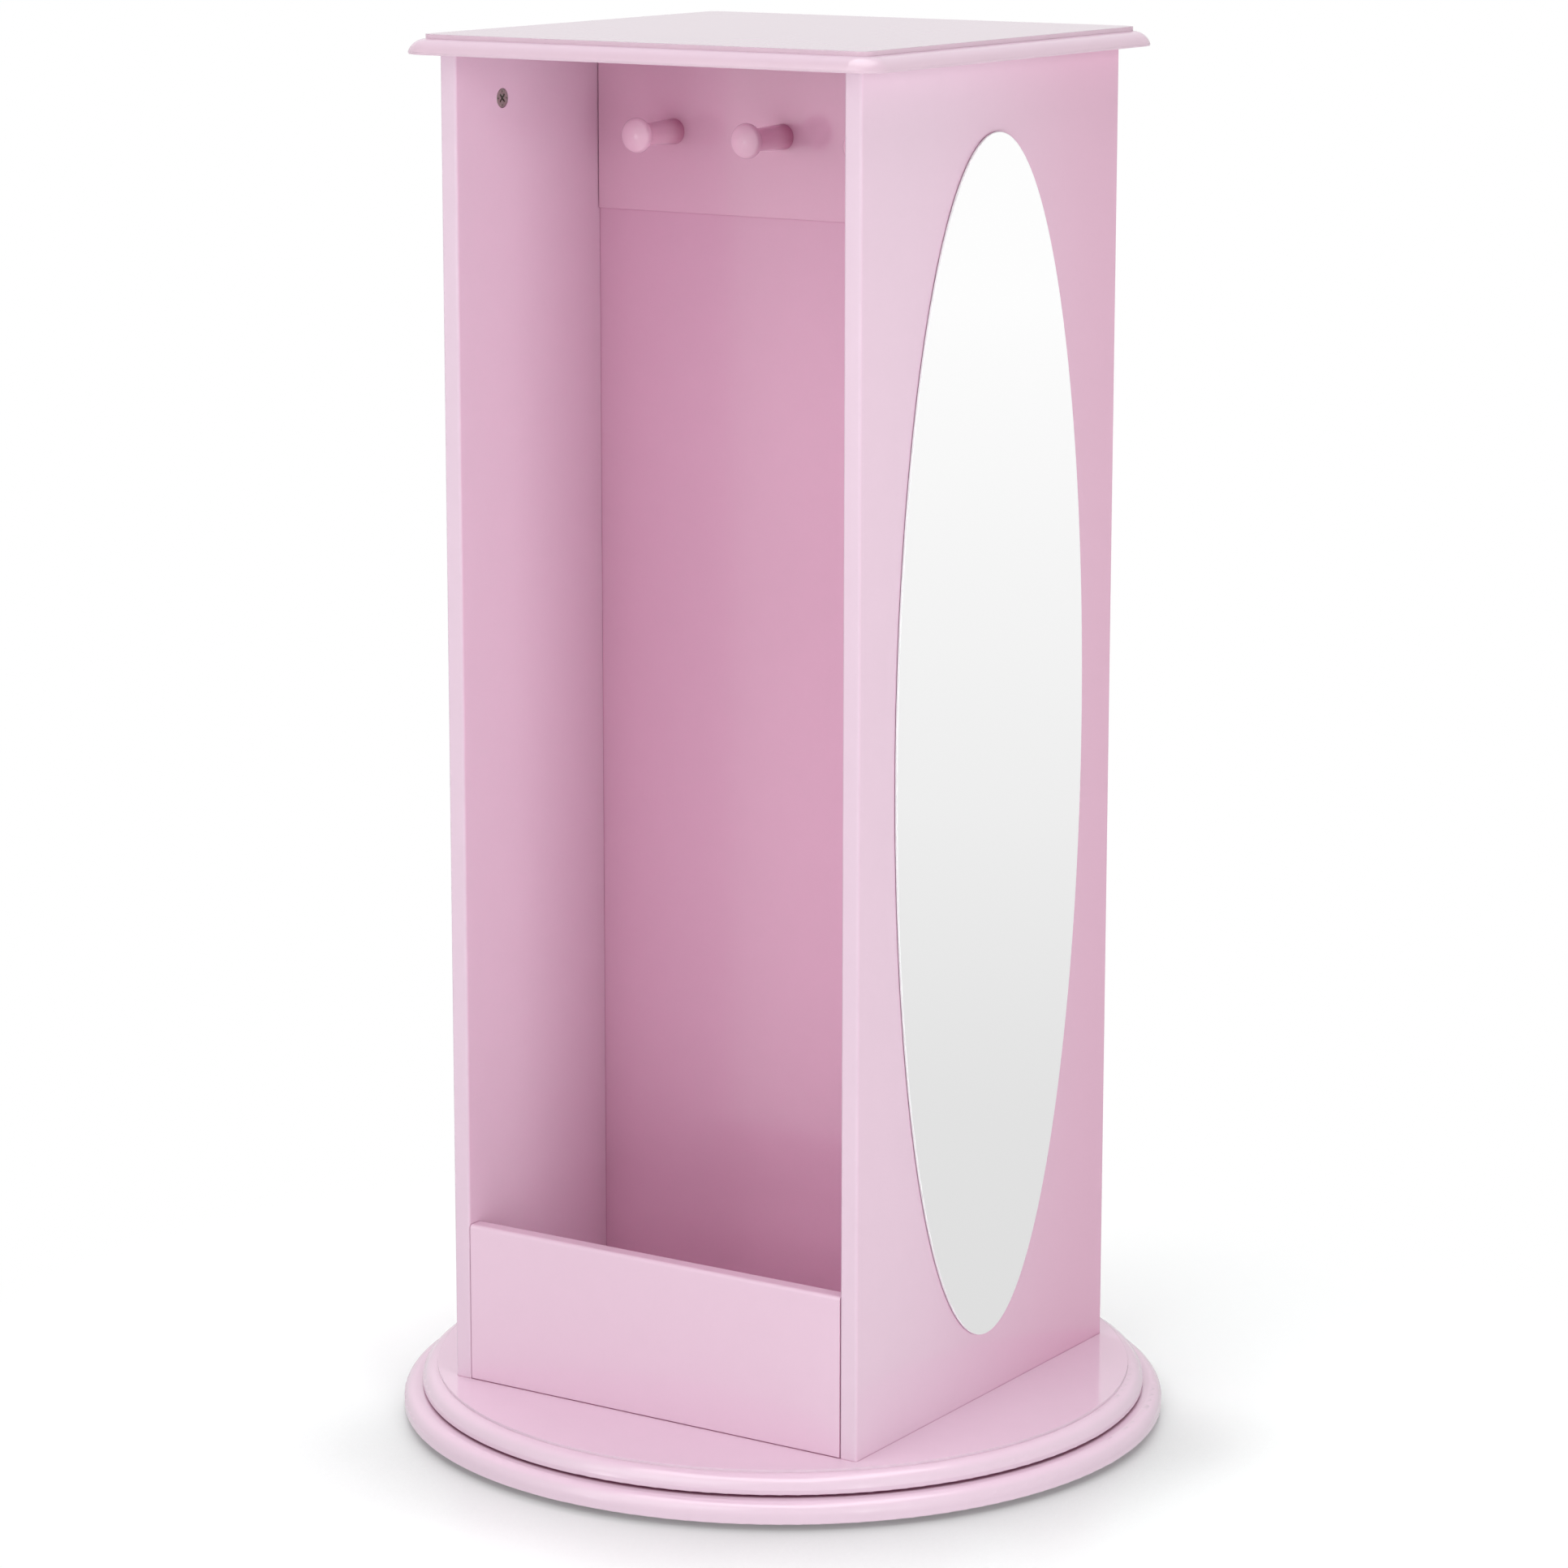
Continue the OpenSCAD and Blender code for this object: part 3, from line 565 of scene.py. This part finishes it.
def silvered(look):
    finish = Finish("silveredGlass", Metallic=1.0)
    flow = finish.flow
    place = objectPlace(flow)
    smear = clouds(flow, place, *look["smearCloud"], stretch=look["smearStretch"])
    dust = clouds(flow, place, *look["dustCloud"])
    dusty = between(flow, dust, *look["dustRange"]) * look["dustShare"]
    finish.feed("Base Color", mixColour(flow, dusty, look["silver"], shade(look["silver"], look["dusty"])))
    finish.feed("Roughness", look["rough"] + between(flow, smear, *look["smearRange"]) * look["smearRough"])
    return finish.material


def groundEdge(look):
    finish = Finish("glassEdge", IOR=look["glassIor"])
    flow = finish.flow
    grind = clouds(flow, objectPlace(flow), *look["grindCloud"])
    pale = shade(look["glassEdge"], look["groundPale"])
    finish.feed("Base Color", mixColour(flow, grind, look["glassEdge"], pale))
    finish.feed("Roughness", look["groundRough"] + grind * look["grindRough"])
    finish.feed("Normal", bump(flow, grind, look["grind"]))
    return finish.material


def backingPaint(look):
    finish = Finish("mirrorBacking", Roughness=look["backingRough"])
    flow = finish.flow
    fleck = clouds(flow, objectPlace(flow), *look["fleckCloud"])
    dark = shade(look["backing"], look["fleckTone"])
    finish.feed("Base Color", mixColour(flow, fleck, look["backing"], dark))
    finish.feed("Normal", bump(flow, fleck, look["fleck"]))
    return finish.material


def ovalMirror(look):
    low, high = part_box("mirror_oval")
    middle = (low + high) / 2
    halfY, halfZ = (high.y - low.y) / 2, (high.z - low.z) / 2
    arris = look["arris"]
    cut = arris * look["arrisRound"]
    # inset from the rim and place through the thickness, from the back to the face
    section = [(inset, low.x) for inset in look["backInsets"]]
    section += [(arris, low.x), (cut, low.x + cut), (0.0, low.x + arris)]
    section += [(0.0, high.x - arris), (cut, high.x - cut), (arris, high.x)]
    section += [(inset, high.x) for inset in look["faceInsets"]]
    mesh = bpy.data.meshes.new("ovalMirror")
    made = bmesh.new()
    rings = []
    for inset, x in section:
        ring = []
        for index in range(look["segments"]):
            angle = 2 * math.pi * index / look["segments"]
            y = middle.y + (halfY - inset) * math.cos(angle)
            z = middle.z + (halfZ - inset) * math.sin(angle)
            ring.append(made.verts.new((x, y, z)))
        rings.append(ring)
    for lower, upper in zip(rings, rings[1:]):
        for index in range(look["segments"]):
            after = (index + 1) % look["segments"]
            made.faces.new((lower[index], lower[after], upper[after], upper[index]))
    made.faces.new(list(reversed(rings[0])))
    made.faces.new(rings[-1])
    bmesh.ops.recalc_face_normals(made, faces=made.faces)
    for face in made.faces:
        level = face.calc_center_median().x
        if abs(level - high.x) < 1e-6:
            face.material_index = 0
        elif abs(level - low.x) < 1e-6:
            face.material_index = 2
        else:
            face.material_index = 1
            face.smooth = True
    made.to_mesh(mesh)
    made.free()
    for material in (silvered(look), groundEdge(look), backingPaint(look)):
        mesh.materials.append(material)
    piece = bpy.data.objects.new("ovalMirror", mesh)
    scene.collection.objects.link(piece)
    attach(piece, "carousel")
    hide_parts("mirror_oval")


ovalMirror(mirrorLook)
print("mirror made")


floorLook = {
    "radius": 9.0,
    "sides": 96,
    "drop": 0.0002,  # how far it lies below the feet
    "colour": (0.88, 0.91, 0.90),
    "rough": 0.30,
    "ior": 1.35,
    "lift": 0.16,  # keeps the open floor white for the camera
    "farRange": (0.34, 0.75),  # the object's shadow ends between these distances
    "closeReach": 0.25,  # the close shadow
    "closeDepth": 3.5,
    "leaning": (-0.53, 0.82, 0.20),  # where it looks for what covers the floor
    "falls": (0.545, -0.838, 0.0),  # the shadow is full on this side and faint on the other
    "fallRange": (-0.03, 0.16),
    "fallShare": (0.25, 0.7),
    "seen": [  # what the mirror and the gloss see, by the share of the radius: painted shade, darker near the object
        (0.03, 0.72), (0.05, 0.75), (0.12, 0.775), (0.19, 0.82),
        (0.28, 0.87), (0.41, 0.91), (0.61, 0.955), (0.92, 1.0),
    ],
}


def rays(flow):
    kinds = ("Camera", "Glossy", "Transmission")
    return [flow.node("ShaderNodeLightPath", output=f"Is {kind} Ray") for kind in kinds]


def studioFloor(look):
    mesh = bpy.data.meshes.new("studioFloor")
    made = bmesh.new()
    bmesh.ops.create_circle(made, cap_ends=True, segments=look["sides"], radius=look["radius"])
    made.to_mesh(mesh)
    made.free()
    floor = bpy.data.objects.new("studioFloor", mesh)
    scene.collection.objects.link(floor)
    floor.location.z = -look["drop"]

    finish = Finish("studioFloor", Roughness=look["rough"], IOR=look["ior"], Emission_Strength=1.0)
    flow = finish.flow
    place = objectPlace(flow)
    reach = flow.node("ShaderNodeVectorMath", {"operation": "LENGTH"}, {0: place}, output="Value")
    camera, glossy, clear = rays(flow)
    # painted shadow: the floor's colour darkens where the object covers it, most on the front side, for the
    # camera only
    room = openness(flow, samples=16, Distance=look["closeReach"], Normal=look["leaning"])
    side = along(flow, place, look["falls"])
    covered = (1.0 - room ** look["closeDepth"]) * between(flow, side, *look["fallRange"], *look["fallShare"])
    finish.feed("Base Color", mixColour(flow, 1.0 - covered * camera, grey(0.0), look["colour"]))
    finish.feed("Emission Color", mixColour(flow, camera, grey(0.0), grey(look["lift"])))
    seen = flow.node("ShaderNodeValToRGB", {"stops": look["seen"]}, {"Fac": reach * (1 / look["radius"])})
    shown = mixColour(flow, camera, seen, grey(1.0))
    glow = flow.node("ShaderNodeEmission", None, {"Color": shown, "Strength": 1.0})
    far = between(flow, reach, *look["farRange"])
    share = clamped(flow, camera * far + glossy + clear)
    paint = Flow(flow.tree, finish.shader.outputs[0])
    mixed = flow.node("ShaderNodeMixShader", None, {0: share, 1: paint, 2: glow})
    flow.tree.links.new(mixed.socket, flow.tree.nodes["Material Output"].inputs["Surface"])
    wear(floor, finish.material)


worldLook = {
    "ambient": 0.165,
    "seen": [  # from straight down to straight up
        (0.0, 1.0), (0.495, 1.0), (0.505, 0.80), (0.575, 0.80), (0.64, 1.0),
    ],
}


def studioWorld(look):
    world = bpy.data.worlds.new("studioWorld")
    scene.world = world
    world.use_nodes = True
    flow = Flow(world.node_tree)
    camera, glossy, clear = rays(flow)
    back = world.node_tree.nodes["Background"]
    back.inputs["Color"].default_value = grey(1.0)
    height = axisOf(flow, flow.node("ShaderNodeTexCoord", output="Generated"), "Z")
    seen = flow.node("ShaderNodeValToRGB", {"stops": look["seen"]}, {"Fac": height * 0.5 + 0.5})
    shown = camera + glossy * seen + clear
    level = shown + (1.0 - clamped(flow, camera + glossy + clear)) * look["ambient"]
    world.node_tree.links.new(level.socket, back.inputs["Strength"])


aimHeight = 0.55
lamps = {  # those that show are seen in the gloss
    "leftBox": {"place": (-2.2, -3.0, 1.1), "size": (1.3, 1.5), "power": 20.0},
    "frontBox": {"place": (-0.55, -3.8, 1.25), "size": (0.9, 1.2), "power": 9.0},
    "sideBox": {"place": (2.35, -1.2, 0.8), "size": (1.2, 2.4), "power": 41.5},
    "topBox": {"place": (0.0, 0.0, 6.0), "size": (5.0, 5.0), "power": 197.0, "shows": True},
    "slopeLeft": {"place": (-1.0, -4.8, 4.8), "size": (5.4, 4.0), "power": 102.0, "shows": True},
    "backLeft": {"place": (-3.2, 1.4, 1.8), "size": (1.8, 1.8), "power": 38.0},
    "backRight": {"place": (0.9, 3.6, 1.8), "size": (1.8, 1.8), "power": 20.0},
    "glintRight": {"place": (2.3, -1.55, 0.55), "size": (0.16, 0.9), "power": 1.8, "shows": True},
    "glintLeft": {"place": (-1.4, -3.6, 0.65), "size": (0.42, 0.9), "power": 5.2, "shows": True},
}


def addLamps(setup):
    aim = Vector((0.0, 0.0, aimHeight))
    for name, lamp in setup.items():
        data = bpy.data.lights.new(name, "AREA")
        data.shape = "RECTANGLE"
        data.size, data.size_y = lamp["size"]
        data.energy = lamp["power"]
        box = bpy.data.objects.new(name, data)
        scene.collection.objects.link(box)
        box.location = lamp["place"]
        box.visible_camera = False
        box.visible_glossy = lamp.get("shows", False)
        box.rotation_euler = (aim - box.location).to_track_quat("-Z", "Y").to_euler()


studioFloor(floorLook)
studioWorld(worldLook)
addLamps(lamps)
print("studio lit")
